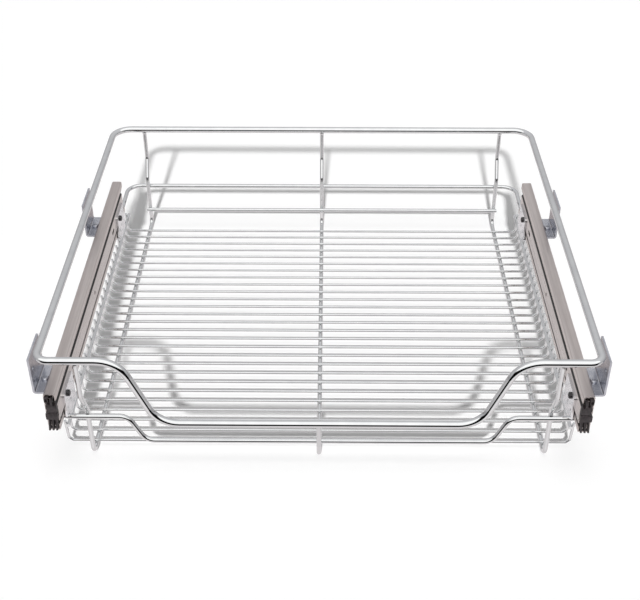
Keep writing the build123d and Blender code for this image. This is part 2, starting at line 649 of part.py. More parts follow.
def right_bracket(y):
    """Bent bracket: its upright plate screws to the panel, its foot has the adjusting slot."""
    plate_x = panel_x - BRACKET_STEEL / 2
    foot_end_x = slide_outer_x + BRACKET_SLIDE_GAP
    plane = Plane(origin=(0, y - BRACKET_LENGTH / 2, 0), x_dir=(1, 0, 0), z_dir=(0, -1, 0))
    line = FilletPolyline(
        (foot_end_x, bracket_leg_z),
        (plate_x, bracket_leg_z),
        (plate_x, TOP_ROD_Z - BRACKET_TOP_DROP),
        radius=BRACKET_BEND_R + BRACKET_STEEL / 2,
    )
    bracket = extrude(plane * trace(line, line_width=BRACKET_STEEL), amount=-BRACKET_LENGTH)
    hole_z = TOP_ROD_Z - WALL_HOLE_DROP
    for dy in (-WALL_HOLE_SPACING / 2, WALL_HOLE_SPACING / 2):
        bracket -= cross_bore(plate_x, y + dy, hole_z, WALL_HOLE_D, 2 * BRACKET_STEEL)
    slot_plane = Plane(origin=(screw_x, y, bracket_leg_z - BRACKET_STEEL))
    bracket -= extrude(slot_plane * SlotOverall(SLOT_LENGTH, SLOT_WIDTH), amount=2 * BRACKET_STEEL)
    return bracket


def right_lug(y):
    """Small angle riveted to the slide, under the bracket's foot."""
    flange_x = slide_outer_x + WELD_GAP + LUG_STEEL / 2
    flange = Pos(flange_x, y, lug_z + LUG_STEEL / 2 - LUG_DEPTH / 2) * Box(LUG_STEEL, LUG_LENGTH, LUG_DEPTH)
    shelf_x = slide_outer_x + WELD_GAP + LUG_REACH / 2
    shelf = Pos(shelf_x, y, lug_z) * Box(LUG_REACH, LUG_LENGTH, LUG_STEEL)
    lug = flange + shelf
    lug -= Pos(screw_x, y, lug_z) * Cylinder(M4_HOLE_D / 2 + WELD_GAP, 2 * LUG_STEEL)
    for rivet_y in rivet_places(y):
        lug -= cross_bore(flange_x, rivet_y, rivet_z(), RIVET_D + 2 * WELD_GAP, 2 * LUG_STEEL)
    return lug


def right_rivet(y):
    """Rivet through the lug and the cabinet member's web."""
    inner_x = slide_outer_x - SLIDE_STEEL
    outer_x = slide_outer_x + WELD_GAP + LUG_STEEL
    length = outer_x - inner_x + WELD_GAP
    shank = cross_bore(inner_x + length / 2, y, rivet_z(), RIVET_D, length)
    head = cross_bore(outer_x + WELD_GAP + RIVET_HEAD_H / 2, y, rivet_z(), RIVET_HEAD_D, RIVET_HEAD_H)
    head = chamfer(head.edges().sort_by(Axis.X)[-1], RIVET_HEAD_H / 2)
    return shank + head


def bracket_screw(x, y):
    """Slotted pan-head screw down through the bracket's slot and the lug."""
    seat_z = bracket_leg_z + BRACKET_STEEL / 2 + WELD_GAP
    head = Pos(x, y, seat_z + M4_HEAD_H / 2) * Cylinder(M4_HEAD_D / 2, M4_HEAD_H)
    head = chamfer(head.edges().sort_by(Axis.Z)[-1], M4_HEAD_H / 3)
    shank = Pos(x, y, seat_z - M4_LENGTH / 2) * Cylinder(M4_D / 2, M4_LENGTH)
    screw = head + shank
    for size in ((DRIVE_SLOT_WIDTH, M4_D), (M4_D, DRIVE_SLOT_WIDTH)):
        screw -= Pos(x, y, seat_z + M4_HEAD_H - DRIVE_SLOT_DEPTH / 2) * Box(*size, DRIVE_SLOT_DEPTH)
    return screw


def bracket_nut(x, y):
    """Hexagon nut under the lug."""
    nut_z = lug_z - LUG_STEEL / 2 - WELD_GAP - M4_NUT_H
    plane = Plane(origin=(x, y, nut_z))
    nut = extrude(plane * RegularPolygon(M4_NUT_AF / 2, 6, major_radius=False), amount=M4_NUT_H)
    return nut - Pos(x, y, nut_z) * Cylinder(M4_D / 2 + WELD_GAP, 3 * M4_NUT_H)


# ---- Assembly ----------------------------------------------------------------------------------------
def both_sides(make):
    """One compound of a right-hand fastener at every bracket, and its mirror images."""
    solids = []
    for y in bracket_places.values():
        piece = make(y)
        solids += [piece, mirrored(piece)]
    return solids


def wire_basket():
    """Nodes of the welded basket."""
    rail = right_side_rail()
    return {
        "top_rail_frame": top_rail_frame(),
        "lower_rim_frame": lower_rim_frame(),
        "rear_middle_rail": rear_middle_rail(),
        "left_leg_wire": outer_leg_wire(-leg_x),
        "centre_leg_wire": centre_leg_wire(),
        "right_leg_wire": outer_leg_wire(leg_x),
        "left_side_rail": mirrored(rail),
        "right_side_rail": rail,
        "floor_cross_wires": floor_cross_wires(),
    }


def slides():
    """Nodes of both slides, the left one a mirror image of the right."""
    right = {
        "cabinet_member": right_cabinet_member(),
        "middle_member": right_middle_member(),
        "drawer_member": right_drawer_member(),
        "outer_ball_cage": right_cage(OUTER_CAGE_T, OUTER_BALL_T, OUTER_BALL_V, OUTER_ARM_END_T),
        "outer_balls": right_balls(OUTER_BALL_T, OUTER_BALL_V),
        "inner_ball_cage": right_cage(INNER_CAGE_T, INNER_BALL_T, INNER_BALL_V, INNER_ARM_END_T),
        "inner_balls": right_balls(INNER_BALL_T, INNER_BALL_V),
        "drawer_member_cap": right_drawer_cap(),
        "middle_member_bumper": right_middle_bumper(),
        "cabinet_member_bumper": right_cabinet_bumper(),
        "rear_bumper": right_rear_bumper(),
        "release_lever": right_release_lever(),
    }
    nodes = {}
    for name, shape in right.items():
        nodes["right_" + name] = shape
        nodes["left_" + name] = mirrored(shape)
    return nodes


def mountings():
    """Nodes of the tabs, brackets, lugs and fasteners."""
    nodes = {}
    for end, y in tab_places.items():
        nodes["right_" + end + "_basket_tab"] = right_tab(y)
        nodes["left_" + end + "_basket_tab"] = mirrored(right_tab(y))
    for end, y in bracket_places.items():
        nodes["right_" + end + "_bracket"] = right_bracket(y)
        nodes["left_" + end + "_bracket"] = mirrored(right_bracket(y))
        nodes["right_" + end + "_slide_lug"] = right_lug(y)
        nodes["left_" + end + "_slide_lug"] = mirrored(right_lug(y))
    tab_screws = []
    for y in tab_places.values():
        tab_screws += [right_tab_screw(y), mirrored(right_tab_screw(y))]
    rivets = []
    for y in bracket_places.values():
        for rivet_y in rivet_places(y):
            rivets += [right_rivet(rivet_y), mirrored(right_rivet(rivet_y))]
    nodes["basket_tab_screws"] = Compound(children=tab_screws)
    nodes["bracket_screws"] = Compound(children=both_sides(lambda y: bracket_screw(screw_x, y)))
    nodes["bracket_nuts"] = Compound(children=both_sides(lambda y: bracket_nut(screw_x, y)))
    nodes["lug_rivets"] = Compound(children=rivets)
    return nodes


def main():
    """Build every node and write its file."""
    os.makedirs("parts", exist_ok=True)
    nodes = {**wire_basket(), **slides(), **mountings()}
    for name, shape in nodes.items():
        export_step(shape, "parts/" + name + ".step")
        print(name)


main()
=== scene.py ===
import logging
from dataclasses import dataclass
from enum import Enum
from math import cos, pi, radians, sin

import bmesh
import bpy
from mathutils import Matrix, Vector


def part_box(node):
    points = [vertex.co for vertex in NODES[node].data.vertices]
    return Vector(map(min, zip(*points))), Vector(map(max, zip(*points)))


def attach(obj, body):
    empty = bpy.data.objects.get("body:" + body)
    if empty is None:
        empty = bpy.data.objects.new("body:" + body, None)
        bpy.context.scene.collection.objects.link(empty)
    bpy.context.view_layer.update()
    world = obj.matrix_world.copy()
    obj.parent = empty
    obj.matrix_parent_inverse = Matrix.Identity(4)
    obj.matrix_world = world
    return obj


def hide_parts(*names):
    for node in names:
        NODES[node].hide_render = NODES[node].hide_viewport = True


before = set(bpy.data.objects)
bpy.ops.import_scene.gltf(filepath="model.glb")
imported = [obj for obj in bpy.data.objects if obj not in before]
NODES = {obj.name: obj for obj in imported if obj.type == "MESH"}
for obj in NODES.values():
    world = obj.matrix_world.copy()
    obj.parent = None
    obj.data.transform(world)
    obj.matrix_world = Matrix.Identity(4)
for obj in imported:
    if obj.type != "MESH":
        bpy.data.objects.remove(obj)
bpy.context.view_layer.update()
LOG = logging.getLogger("basket")

Mesh = bmesh.types.BMesh
Material = bpy.types.Material
Tree = bpy.types.NodeTree
Socket = bpy.types.NodeSocket
Outline = list[tuple[float, float]]

MM = 0.001
SHARP_ANGLE = radians(32)  # edges sharper than this stay crisp on rods and pressings
RELIEF_DEPTH = 0.05 * MM  # of the fine marks on every surface
WHITE = (1.0, 1.0, 1.0, 1.0)
SMOOTHSTEP = {"interpolation_type": "SMOOTHSTEP"}
UP = Vector((0, 0, 1))
BACK = Vector((0, 1, 0))

# Bead round the end of a butted wire: radius and height of each ring, as shares of the wire's radius.
COLLAR_BEAD = [(0.7, -1.0), (1.02, -0.75), (1.16, -0.2), (1.34, 0.2), (1.2, 0.7)]

# Outlines of the slide's end pieces, in millimetres: distance from the slide's cabinet face, and height
# over the slide's middle.
CAP_UPPER_LOBE = [(2.0, 12.0), (9.2, 12.4), (10.2, 9.6), (11.6, 13.4), (12.5, 13.0), (12.4, 3.8), (11.6, 2.6)]
CAP_UPPER_LOBE += [(3.0, 2.6), (2.6, 6.0), (1.5, 8.4)]
CAP_LOWER_LOBE = [(2.4, 1.9), (11.6, 1.9), (12.2, 1.0), (11.8, -5.8), (11.0, -6.8), (1.0, -6.8)]
CAP_LOWER_LOBE += [(0.2, -6.0), (0.2, 0.2)]
CAP_ARCH = [(1.2, 15.4), (1.2, 20.9), (5.4, 20.9), (5.4, 15.4), (4.5, 15.4), (4.5, 20.0), (2.1, 20.0)]
CAP_ARCH += [(2.1, 15.4)]
CAP_STEM = [(2.2, 11.5), (4.4, 11.5), (4.4, 16.3), (2.2, 16.3)]
CAP_FINGER = [(6.6, 12.0), (6.6, 18.6), (7.2, 20.2), (8.3, 20.2), (8.9, 18.6), (9.1, 12.0)]
CAP_SPINE = [(2.8, 11.0), (11.2, 11.0), (11.2, -6.4), (2.8, -6.4)]
CAP_SPIGOT = [(5.5, -12.0), (9.6, -12.0), (11.3, -9.4), (11.3, 9.4), (9.6, 12.0), (5.5, 12.0)]
END_STRIP = [(1.3, 21.4), (2.2, 21.4), (2.2, -18.5), (9.0, -18.5), (9.0, -21.4), (1.3, -21.4)]


# ---- Small tools ---------------------------------------------------------------------------------
def linear(hex_code: str, alpha: float = 1.0) -> tuple[float, float, float, float]:
    """Turn an sRGB hex code into a linear colour.

    Args:
        hex_code: Colour as six hex digits after a hash sign.
        alpha: Opacity to carry along.

    Returns:
        Linear red, green and blue, and the opacity.
    """
    parts = [int(hex_code[i : i + 2], 16) / 255 for i in (1, 3, 5)]
    red, green, blue = [c / 12.92 if c <= 0.04045 else ((c + 0.055) / 1.055) ** 2.4 for c in parts]
    return red, green, blue, alpha


def add_node(tree: Tree, kind: str, settings: dict | None = None, **links: object) -> bpy.types.Node:
    """Add a shader node with its settings, socket values and links.

    Args:
        tree: Node tree that the node goes into.
        kind: Blender's type name of the node.
        settings: Properties of the node, by name.
        links: Value or output socket for each input. An underscore stands for a space, and i0 for the
            first input.

    Returns:
        The new node.
    """
    node = tree.nodes.new(kind)
    for name, value in (settings or {}).items():
        setattr(node, name, value)
    for name, value in links.items():
        key = int(name[1:]) if name[0] == "i" and name[1:].isdigit() else name.replace("_", " ")
        socket = node.inputs[key]
        if isinstance(value, Socket):
            tree.links.new(value, socket)
        else:
            socket.default_value = value
    return node


def ramp_stops(node: bpy.types.Node, stops: list[tuple[float, tuple[float, float, float, float]]]) -> None:
    """Give a colour ramp its stops.

    Args:
        node: The colour ramp.
        stops: Place from 0 to 1 and colour of each stop, in order.
    """
    elements = node.color_ramp.elements
    while len(elements) < len(stops):
        elements.new(1.0)
    for element, (place, colour) in zip(elements, stops):
        element.position = place
        element.color = colour


def mesh_piece(name: str, bm: Mesh, finish: Material, body: str) -> bpy.types.Object:
    """Make an object of a finished mesh and fix it to a body.

    Args:
        name: The piece's name.
        bm: Its mesh, in the row frame, which is freed.
        finish: Its material.
        body: The body that it moves with.

    Returns:
        The new object.
    """
    bmesh.ops.recalc_face_normals(bm, faces=bm.faces)
    mesh = bpy.data.meshes.new(name)
    bm.to_mesh(mesh)
    bm.free()
    mesh.shade_smooth()
    mesh.set_sharp_from_angle(angle=SHARP_ANGLE)
    piece = bpy.data.objects.new(name, mesh)
    bpy.context.scene.collection.objects.link(piece)
    mesh.materials.append(finish)
    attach(piece, body)
    LOG.info("%s: %d faces on %s", name, len(mesh.polygons), body)
    return piece


def revolve(bm: Mesh, centre: Vector, axis: Vector, profile: Outline, segments: int = 14) -> None:
    """Add a closed turned shape to a mesh.

    Args:
        bm: Mesh that takes the shape.
        centre: Point that heights in the profile are measured from.
        axis: Direction of the axis of turning.
        profile: Radius and height of each ring.
        segments: Corners of each ring.
    """
    turn = axis.to_track_quat("Z", "Y").to_matrix()
    rings = []
    for radius, height in profile:
        ring = []
        for k in range(segments):
            angle = 2 * pi * k / segments
            point = Vector((radius * cos(angle), radius * sin(angle), height))
            ring.append(bm.verts.new(centre + turn @ point))
        rings.append(ring)
    for low, high in zip(rings, rings[1:]):
        for k in range(segments):
            following = (k + 1) % segments
            bm.faces.new((low[k], low[following], high[following], high[k]))
    bm.faces.new(list(reversed(rings[0])))
    bm.faces.new(rings[-1])


def dress(names: list[str], finish: Material) -> None:
    """Give CAD nodes a finish.

    Args:
        names: The nodes.
        finish: The material that takes the place of their plain one.
    """
    for name in names:
        node = NODES[name]
        node.data.materials.clear()
        node.data.materials.append(finish)
        node.data.shade_smooth()
        node.data.set_sharp_from_angle(angle=SHARP_ANGLE)
        LOG.info("%s wears %s", name, finish.name)


class Grain(Enum):
    """Direction in which a surface was drawn, rolled or brushed."""

    NONE = (1.0, 1.0, 1.0)
    ALONG_X = (0.02, 1.0, 1.0)
    ALONG_Y = (1.0, 0.02, 1.0)
    ALONG_Z = (1.0, 1.0, 0.02)


# ---- Finishes ------------------------------------------------------------------------------------
@dataclass(frozen=True)
class MetalFinish:
    """Plated or bare metal: a tint between two colours, with fine marks in its gloss and relief."""

    name: str
    light: str
    dark: str
    roughness: tuple[float, float]
    mark_mm: float
    cloud_mm: float
    relief: float
    grain: Grain = Grain.NONE

    def material(self) -> Material:
        """Build the shader.

        Returns:
            The new material.
        """
        made = bpy.data.materials.new(self.name)
        made.use_nodes = True
        tree = made.node_tree
        shader = tree.nodes["Principled BSDF"]
        place = add_node(tree, "ShaderNodeTexCoord")
        scaled = add_node(tree, "ShaderNodeMapping", Vector=place.outputs["Object"], Scale=self.grain.value)
        marks = add_node(
            tree,
            "ShaderNodeTexNoise",
            Vector=scaled.outputs[0],
            Scale=1 / (self.mark_mm * MM),
            Detail=3.0,
            Roughness=0.6,
        )
        clouds = add_node(
            tree, "ShaderNodeTexNoise", Vector=scaled.outputs[0], Scale=1 / (self.cloud_mm * MM), Detail=2.0
        )
        both = add_node(tree, "ShaderNodeMath", {"operation": "MULTIPLY_ADD"}, i0=marks.outputs[0], i1=0.45)
        tree.links.new(clouds.outputs[0], both.inputs[2])
        tint = add_node(tree, "ShaderNodeValToRGB", Fac=both.outputs[0])
        ramp_stops(tint, [(0.45, linear(self.dark)), (0.95, linear(self.light))])
        tree.links.new(tint.outputs[0], shader.inputs["Base Color"])
        gloss = add_node(tree, "ShaderNodeMapRange", Value=marks.outputs[0])
        for key, value in zip(("From Min", "From Max", "To Min", "To Max"), (0.25, 0.75, *self.roughness)):
            gloss.inputs[key].default_value = value
        tree.links.new(gloss.outputs[0], shader.inputs["Roughness"])
        bump = add_node(
            tree, "ShaderNodeBump", Height=marks.outputs[0], Strength=self.relief, Distance=RELIEF_DEPTH
        )
        tree.links.new(bump.outputs[0], shader.inputs["Normal"])
        shader.inputs["Metallic"].default_value = 1.0
        return made


@dataclass(frozen=True)
class MouldedFinish:
    """Moulded plastic or rubber: dark, with a spark-eroded grain and paler rubbed spots."""

    name: str
    body: str
    rubbed: str
    roughness: tuple[float, float]
    grain_mm: float
    relief: float
    ior: float

    def material(self) -> Material:
        """Build the shader.

        Returns:
            The new material.
        """
        made = bpy.data.materials.new(self.name)
        made.use_nodes = True
        tree = made.node_tree
        shader = tree.nodes["Principled BSDF"]
        place = add_node(tree, "ShaderNodeTexCoord")
        where = place.outputs["Object"]
        fine = 1 / (self.grain_mm * MM)
        grain = add_node(tree, "ShaderNodeTexNoise", Vector=where, Scale=fine, Detail=2.0)
        rub = add_node(tree, "ShaderNodeTexNoise", Vector=where, Scale=fine / 8, Detail=3.0)
        tint = add_node(tree, "ShaderNodeValToRGB", Fac=rub.outputs[0])
        ramp_stops(tint, [(0.4, linear(self.body)), (0.8, linear(self.rubbed))])
        tree.links.new(tint.outputs[0], shader.inputs["Base Color"])
        gloss = add_node(tree, "ShaderNodeMapRange", Value=rub.outputs[0])
        for key, value in zip(("From Min", "From Max", "To Min", "To Max"), (0.3, 0.7, *self.roughness)):
            gloss.inputs[key].default_value = value
        tree.links.new(gloss.outputs[0], shader.inputs["Roughness"])
        bump = add_node(
            tree, "ShaderNodeBump", Height=grain.outputs[0], Strength=self.relief, Distance=RELIEF_DEPTH
        )
        tree.links.new(bump.outputs[0], shader.inputs["Normal"])
        shader.inputs["IOR"].default_value = self.ior
        return made


@dataclass(frozen=True)
class PaintedSlotShade:
    """Painted shade: a dark band on a member's shoulders, above and below its bright face, standing in for
    the shade in the slot under the lips.
    """

    colour: str = "#262221"
    unshaded_mm: float = 9.9  # half height of the face that is left without painted shade
    fade_mm: float = 0.9
    roughness: float = 0.35

    def spread(self, metal: Material, middle: float) -> None:
        """Paint the slot's shade over a metal finish, as a dark, rougher, non-metallic band.

        Args:
            metal: The finish, which is changed.
            middle: Height of the member's middle, in metres.
        """
        tree = metal.node_tree
        shader = tree.nodes["Principled BSDF"]
        place = add_node(tree, "ShaderNodeTexCoord")
        parts = add_node(tree, "ShaderNodeSeparateXYZ", i0=place.outputs["Object"])
        above = add_node(tree, "ShaderNodeMath", {"operation": "SUBTRACT"}, i0=parts.outputs["Z"], i1=middle)
        away = add_node(tree, "ShaderNodeMath", {"operation": "ABSOLUTE"}, i0=above.outputs[0])
        # 1 on the shoulders, where the slot's shade is painted, fading to 0 on the bright face
        shade_mask = add_node(tree, "ShaderNodeMapRange", SMOOTHSTEP, Value=away.outputs[0])
        shade_mask.inputs["From Min"].default_value = self.unshaded_mm * MM
        shade_mask.inputs["From Max"].default_value = (self.unshaded_mm + self.fade_mm) * MM
        tint = add_node(tree, "ShaderNodeMix", {"data_type": "RGBA"}, i0=shade_mask.outputs[0])
        tree.links.new(shader.inputs["Base Color"].links[0].from_socket, tint.inputs[6])
        tint.inputs[7].default_value = linear(self.colour)
        tree.links.new(tint.outputs[2], shader.inputs["Base Color"])
        gloss = add_node(tree, "ShaderNodeMix", {"data_type": "FLOAT"}, i0=shade_mask.outputs[0], i3=self.roughness)
        tree.links.new(shader.inputs["Roughness"].links[0].from_socket, gloss.inputs[2])
        tree.links.new(gloss.outputs[0], shader.inputs["Roughness"])
        bare = add_node(tree, "ShaderNodeMath", {"operation": "SUBTRACT"}, i0=1.0, i1=shade_mask.outputs[0])
        tree.links.new(bare.outputs[0], shader.inputs["Metallic"])


# Bright chrome over nickel on drawn steel wire: near-mirror, so it shows the studio as hard light and dark
# lines. Its die lines are about 0.05 mm apart, and are drawn at 0.6 mm so that they show at all.
CHROME_PLATE = MetalFinish("chrome_plated_drawn_wire", "#E2E3E3", "#D9DADB", (0.035, 0.06), 0.6, 14.0, 0.012)

# Zinc plate with a warm chromate on cold-rolled strip: satin, streaked along the rolling direction. The
# rolling lines are about 0.1 mm apart, and are drawn at 0.5 mm.
ROLLED_ZINC = MetalFinish(
    "warm_zinc_on_rolled_strip", "#E4DCD8", "#C9C0BC", (0.30, 0.44), 0.5, 5.0, 0.22, Grain.ALONG_Y
)

# The drawer member's bare face is a paler, smoother rolled zinc, rubbed bright by the basket's tabs.
RUBBED_ZINC = MetalFinish(
    "rubbed_zinc_with_painted_slot_shade", "#DDD6D2", "#C3BAB7", (0.24, 0.38), 0.5, 5.0, 0.22, Grain.ALONG_Y
)

# Blue-passivated zinc on pressed sheet: colder, cloudy by the centimetre, mirror-like between the clouds.
PRESSED_ZINC = MetalFinish("blue_zinc_on_pressed_sheet", "#CFD0D5", "#AFB1BA", (0.16, 0.34), 0.35, 9.0, 0.12)

# Freshly plated sheet of the basket's tabs: bright and almost colourless.
BRIGHT_ZINC = MetalFinish("bright_zinc_on_tab_sheet", "#F0F0F1", "#DFDFE2", (0.16, 0.28), 0.35, 8.0, 0.10)

# Turned and rolled fasteners: small parts, plated together in a barrel, so they are evenly dull-bright.
BARREL_ZINC = MetalFinish("barrel_zinc_on_fasteners", "#D2D3D8", "#B4B6BD", (0.18, 0.32), 0.3, 2.0, 0.20)

# Ground bearing balls: the smoothest metal here, with a thin film of oil that darkens them a little.
GROUND_BALLS = MetalFinish("ground_bearing_steel", "#CFCFD2", "#BDBDC2", (0.04, 0.09), 0.3, 1.5, 0.02)

# Sheet of the ball cages, punched and tumbled, so that its edges are soft and its gloss is low.
TUMBLED_CAGE = MetalFinish("tumbled_cage_steel", "#B9B6B4", "#9A9796", (0.30, 0.45), 0.4, 4.0, 0.25)

# Black acetal moulding: deep brownish black with a low sheen from its spark-eroded mould.
BLACK_ACETAL = MouldedFinish("moulded_black_acetal", "#211D1E", "#3B3436", (0.34, 0.52), 0.35, 0.35, 1.48)

# Soft black bumper rubber: the dullest surface here, with a powdery bloom.
BUMPER_RUBBER = MouldedFinish("moulded_bumper_rubber", "#1B1A1A", "#2D2B2B", (0.62, 0.80), 0.45, 0.40, 1.52)

# Black passivation on turned screws: near-black skin that is still a little glossy on the dome.
BLACK_SCREW = MouldedFinish("black_passivated_screw", "#141315", "#2B2829", (0.22, 0.38), 0.25, 0.15, 1.60)


# ---- Wire basket ---------------------------------------------------------------------------------
@dataclass
class WireBasket:
    """The welded basket: rods, legs, floor wires and the weld fillets between them. Sizes in metres."""

    chrome: Material
    floor_wires: int = 27
    body: str = "basket"
    slot: str = "chrome_wire"
    floor_wire_radius: float = 1.5 * MM
    top_radius: float = 4 * MM
    rim_radius: float = 2.75 * MM
    waist_share: float = 0.45  # of the thinner wire's radius, at a fillet's waist
    spread_share: float = 0.95  # and where it runs out on the wires
    reach_share: float = 0.62  # of the thinner wire's radius, from the contact to where it runs out
    fillet_rings: int = 6
    leg_lean: float = radians(26)  # of the middle leg's front run

    def legs(self) -> list[str]:
        """Names of the three leg wires."""
        return ["left_leg_wire", "centre_leg_wire", "right_leg_wire"]

    def centre_x(self, node: str) -> float:
        """Middle of a node across the object."""
        low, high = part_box(node)
        return (low.x + high.x) / 2

    def fillet(self, bm: Mesh, contact: Vector, across: Vector, radius: float) -> None:
        """Add the hourglass of steel that a resistance weld leaves between two crossed wires.

        Args:
            bm: Mesh that takes it.
            contact: Point where the wires touch.
            across: Direction from one wire to the other.
            radius: Radius of the thinner wire.
        """
        profile = []
        for k in range(self.fillet_rings + 1):
            share = 2 * k / self.fillet_rings - 1
            width = self.waist_share + (self.spread_share - self.waist_share) * share**2
            profile.append((radius * width, radius * self.reach_share * share))
        revolve(bm, contact, across, profile)

    def collar(self, bm: Mesh, end: Vector, along: Vector, radius: float) -> None:
        """Add the bead round the end of a wire that is butted against a rod.

        Args:
            bm: Mesh that takes it.
            end: The middle of the wire's end.
            along: Direction in which the wire ends.
            radius: The wire's radius.
        """
        profile = [(radius * width, radius * height) for width, height in COLLAR_BEAD]
        revolve(bm, end, along, profile, segments=20)

    def floor_wire_places(self) -> list[float]:
        """Y of each floor wire, from the front to the back."""
        low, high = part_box("floor_cross_wires")
        first, last = low.y + self.floor_wire_radius, high.y - self.floor_wire_radius
        pitch = (last - first) / (self.floor_wires - 1)
        return [first + pitch * i for i in range(self.floor_wires)]

    def leg_radius(self) -> float:
        """Half the thickness of a leg wire."""
        low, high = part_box("left_leg_wire")
        return (high.x - low.x) / 2

    def build_floor_welds(self) -> None:
        """Welds of the floor wires on the legs."""
        bm = bmesh.new()
        contact_z = 2 * self.leg_radius()
        for name in self.legs():
            for y in self.floor_wire_places():
                contact = Vector((self.centre_x(name), y, contact_z))
                self.fillet(bm, contact, UP, self.floor_wire_radius)
        mesh_piece("floor_wire_welds", bm, self.chrome, self.body)

    def build_side_welds(self) -> None:
        """Welds of the floor wires' ends on the side rails."""
        bm = bmesh.new()
        for side, name in ((-1, "left_side_rail"), (1, "right_side_rail")):
            low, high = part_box(name)
            rail_outer = high.x if side > 0 else low.x
            for y in self.floor_wire_places():
                contact = Vector((rail_outer, y, (low.z + high.z) / 2))
                self.fillet(bm, contact, Vector((side, 0, 0)), self.floor_wire_radius)
        mesh_piece("side_rail_welds", bm, self.chrome, self.body)

    def build_frame_welds(self) -> None:
        """Welds of the legs on the rods that they cross and meet."""
        bm = bmesh.new()
        radius = self.leg_radius()
        top_low, top_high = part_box("top_rail_frame")
        rim_low, rim_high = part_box("lower_rim_frame")
        rail_low, rail_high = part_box("rear_middle_rail")
        rim_z = rim_high.z - self.rim_radius
        for name in self.legs():
            x = self.centre_x(name)
            self.fillet(bm, Vector((x, rail_high.y, (rail_low.z + rail_high.z) / 2)), BACK, radius)
            self.fillet(bm, Vector((x, rim_high.y - 2 * self.rim_radius, rim_z)), BACK, radius)
            rear_top = Vector((x, top_high.y - self.top_radius, top_high.z - 2 * self.top_radius))
            self.collar(bm, rear_top, UP, radius)
            if name != "centre_leg_wire":
                self.fillet(bm, Vector((x, rim_low.y + 2 * self.rim_radius, rim_z)), BACK, radius)
                front_top = Vector((x, top_low.y + self.top_radius, top_high.z - 2 * self.top_radius))
                self.collar(bm, front_top, UP, radius)
        self.centre_leg_welds(bm)
        mesh_piece("frame_welds", bm, self.chrome, self.body)

    def centre_leg_welds(self, bm: Mesh) -> None:
        """Add the welds where the middle leg leans on the rim's dip and meets the dipped top rod.

        Args:
            bm: Mesh that takes them.
        """
        radius = self.leg_radius()
        rim_low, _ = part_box("lower_rim_frame")
        top_low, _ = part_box("top_rail_frame")
        rim_middle = Vector((0, rim_low.y + self.rim_radius, rim_low.z + self.rim_radius))
        outwards = Vector((0, -cos(self.leg_lean), -sin(self.leg_lean)))
        self.fillet(bm, rim_middle + outwards * self.rim_radius, outwards, radius)
        dipped_rod = Vector((0, top_low.y + self.top_radius, top_low.z + self.top_radius))
        upwards = (dipped_rod - rim_middle - outwards * (self.rim_radius + radius)).normalized()
        self.collar(bm, dipped_rod - upwards * self.top_radius, upwards, radius)

    def build(self) -> None:
        """Build every weld."""
        self.build_floor_welds()
        self.build_side_welds()
        self.build_frame_welds()

    def dress(self) -> None:
        """Chrome every wire."""
        rods = ["top_rail_frame", "lower_rim_frame", "rear_middle_rail", "left_side_rail", "right_side_rail"]
        dress(rods + self.legs() + ["floor_cross_wires"], self.chrome)


